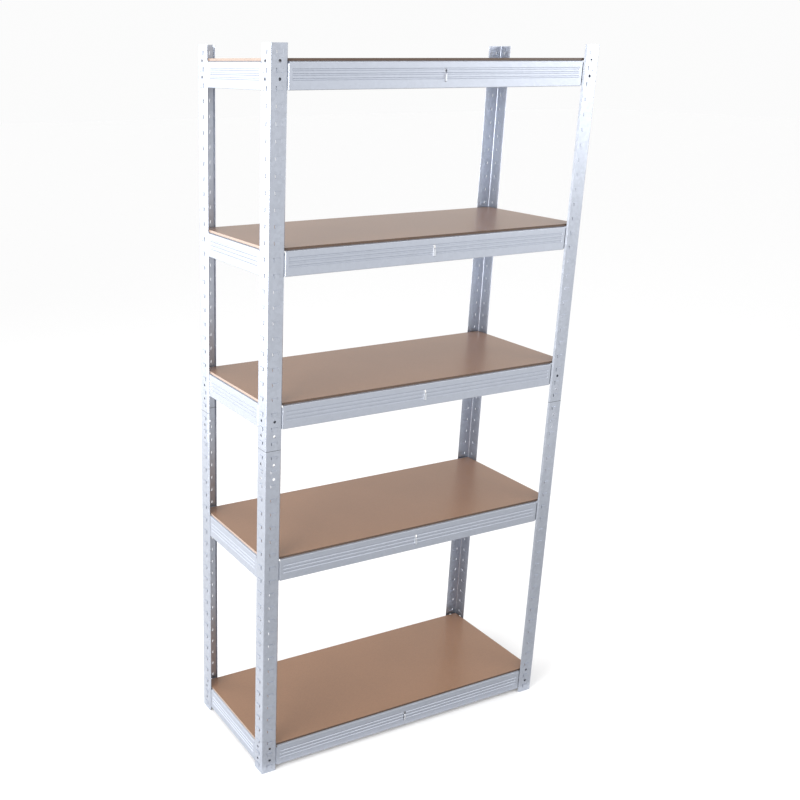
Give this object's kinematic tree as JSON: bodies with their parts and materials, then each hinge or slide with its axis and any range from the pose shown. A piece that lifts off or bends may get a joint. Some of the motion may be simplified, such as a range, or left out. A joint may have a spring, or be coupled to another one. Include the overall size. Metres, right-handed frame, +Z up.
{
  "type": "boltless steel shelving",
  "caption": "Free-standing boltless shelving: slotted steel angle posts, hooked beams with folded ledges, and loose fibreboard shelves on several tiers.",
  "frame": {"origin": "on the floor under the middle of the unit", "axes": "+Z up the posts, +X along the width to the right seen from the front, +Y to the rear"},
  "size_m": [0.9024, 0.3624, 1.8],
  "materials": {
    "post_steel": "galvanised, matt with a faint spangle",
    "beam_steel": "galvanised, matt with a faint spangle",
    "tie_bar_steel": "galvanised, matt",
    "fibreboard": "raw medium-density fibreboard, smooth and matt"
  },
  "bodies": {
    "frame": {"post_front_left_lower": "post_steel", "post_front_left_upper": "post_steel", "post_connector_front_left": "post_steel", "post_front_right_lower": "post_steel", "post_front_right_upper": "post_steel", "post_connector_front_right": "post_steel", "post_rear_right_lower": "post_steel", "post_rear_right_upper": "post_steel", "post_connector_rear_right": "post_steel", "post_rear_left_lower": "post_steel", "post_rear_left_upper": "post_steel", "post_connector_rear_left": "post_steel", "beam_front_1": "beam_steel", "beam_right_1": "beam_steel", "beam_back_1": "beam_steel", "beam_left_1": "beam_steel", "tie_bar_1": "tie_bar_steel", "beam_front_2": "beam_steel", "beam_right_2": "beam_steel", "beam_back_2": "beam_steel", "beam_left_2": "beam_steel", "tie_bar_2": "tie_bar_steel", "beam_front_3": "beam_steel", "beam_right_3": "beam_steel", "beam_back_3": "beam_steel", "beam_left_3": "beam_steel", "tie_bar_3": "tie_bar_steel", "beam_front_4": "beam_steel", "beam_right_4": "beam_steel", "beam_back_4": "beam_steel", "beam_left_4": "beam_steel", "tie_bar_4": "tie_bar_steel", "beam_front_5": "beam_steel", "beam_right_5": "beam_steel", "beam_back_5": "beam_steel", "beam_left_5": "beam_steel", "tie_bar_5": "tie_bar_steel"},
    "board_1": {"shelf_board_1": "fibreboard"},
    "board_2": {"shelf_board_2": "fibreboard"},
    "board_3": {"shelf_board_3": "fibreboard"},
    "board_4": {"shelf_board_4": "fibreboard"},
    "board_5": {"shelf_board_5": "fibreboard"}
  },
  "joints": [
    {"name": "board_1_lift", "type": "slide", "parent": "frame", "child": "board_1", "axis": [0, 0, 1], "range_m": [0, 0.44]},
    {"name": "board_2_lift", "type": "slide", "parent": "frame", "child": "board_2", "axis": [0, 0, 1], "range_m": [0, 0.29]},
    {"name": "board_3_lift", "type": "slide", "parent": "frame", "child": "board_3", "axis": [0, 0, 1], "range_m": [0, 0.26]},
    {"name": "board_4_lift", "type": "slide", "parent": "frame", "child": "board_4", "axis": [0, 0, 1], "range_m": [0, 0.29]},
    {"name": "board_5_lift", "type": "slide", "parent": "frame", "child": "board_5", "axis": [0, 0, 1], "range_m": [0, 0.3]}
  ]
}
